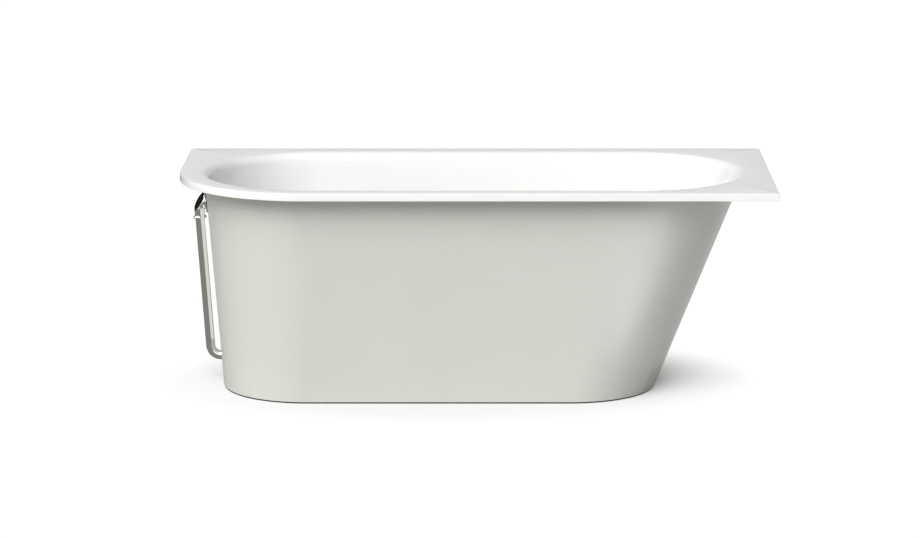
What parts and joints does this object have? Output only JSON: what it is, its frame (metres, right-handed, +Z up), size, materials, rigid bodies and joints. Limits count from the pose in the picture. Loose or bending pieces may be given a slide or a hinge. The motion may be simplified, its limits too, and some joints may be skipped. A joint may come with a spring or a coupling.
{
  "type": "built-in bathtub with a skirt",
  "caption": "Oval basin under a D-shaped flat rim with one round corner, on a leaning one-piece skirt, with an exposed overflow pipe; for a corner between two walls.",
  "frame": {"origin": "on the floor under the middle of the rim's outline", "axes": "+X along the back wall to the sloping right end, +Y to the back wall, +Z up"},
  "size_m": [1.7, 0.75, 0.62],
  "materials": {
    "acrylic_white": "smooth glossy sanitary acrylic",
    "sage_panel": "satin, smooth, pale grey-green",
    "white_plastic": "moulded, slightly matt",
    "dark_rubber": "matt",
    "wood_board": "sealed particle board",
    "zinc_steel": "zinc plated",
    "chrome": "polished"
  },
  "bodies": {
    "root": {"basin_shell": "acrylic_white", "skirt_panel": "sage_panel", "bond_bead": "white_plastic", "base_seal": "dark_rubber", "rim_batten_back": "wood_board", "rim_batten_right": "wood_board", "base_board": "wood_board", "leg_rail_left": "zinc_steel", "leg_rail_right": "zinc_steel", "rail_screws": "zinc_steel", "foot_nuts": "zinc_steel", "lock_nuts": "zinc_steel", "skirt_bracket_left": "zinc_steel", "skirt_bracket_right": "zinc_steel", "bracket_bolts": "zinc_steel", "bracket_nuts": "zinc_steel", "wall_clip_back_left": "zinc_steel", "wall_clip_back_right": "zinc_steel", "wall_clip_right": "zinc_steel", "drain_flange": "chrome", "drain_washer": "dark_rubber", "drain_gasket": "dark_rubber", "waste_body": "white_plastic", "plug_cartridge": "white_plastic", "trap_body": "white_plastic", "trap_nut": "white_plastic", "trap_seal": "dark_rubber", "inlet_nut": "white_plastic", "inlet_seal": "dark_rubber", "outlet_nut": "white_plastic", "outlet_seal": "dark_rubber", "overflow_cover": "chrome", "overflow_cap": "chrome", "overflow_gasket": "dark_rubber", "overflow_backing": "dark_rubber", "overflow_elbow": "chrome", "overflow_ring": "chrome", "overflow_pipe": "chrome", "pipe_sleeve": "dark_rubber"},
    "foot_front_left": {"foot_stem_front_left": "zinc_steel", "foot_pad_front_left": "dark_rubber"},
    "foot_front_right": {"foot_stem_front_right": "zinc_steel", "foot_pad_front_right": "dark_rubber"},
    "foot_back_left": {"foot_stem_back_left": "zinc_steel", "foot_pad_back_left": "dark_rubber"},
    "foot_back_right": {"foot_stem_back_right": "zinc_steel", "foot_pad_back_right": "dark_rubber"},
    "plug": {"plug_cap": "chrome", "plug_stem": "chrome", "plug_seal": "dark_rubber"}
  },
  "joints": [
    {"name": "plug_lift", "type": "slide", "parent": "root", "child": "plug", "axis": [0, 0, 1], "range_m": [0, 0.008]},
    {"name": "foot_screw_front_left", "type": "slide", "parent": "root", "child": "foot_front_left", "axis": [0, 0, 1], "range_m": [-0.012, 0.01]},
    {"name": "foot_screw_front_right", "type": "slide", "parent": "root", "child": "foot_front_right", "axis": [0, 0, 1], "range_m": [-0.012, 0.01]},
    {"name": "foot_screw_back_left", "type": "slide", "parent": "root", "child": "foot_back_left", "axis": [0, 0, 1], "range_m": [-0.012, 0.01]},
    {"name": "foot_screw_back_right", "type": "slide", "parent": "root", "child": "foot_back_right", "axis": [0, 0, 1], "range_m": [-0.012, 0.01]}
  ]
}
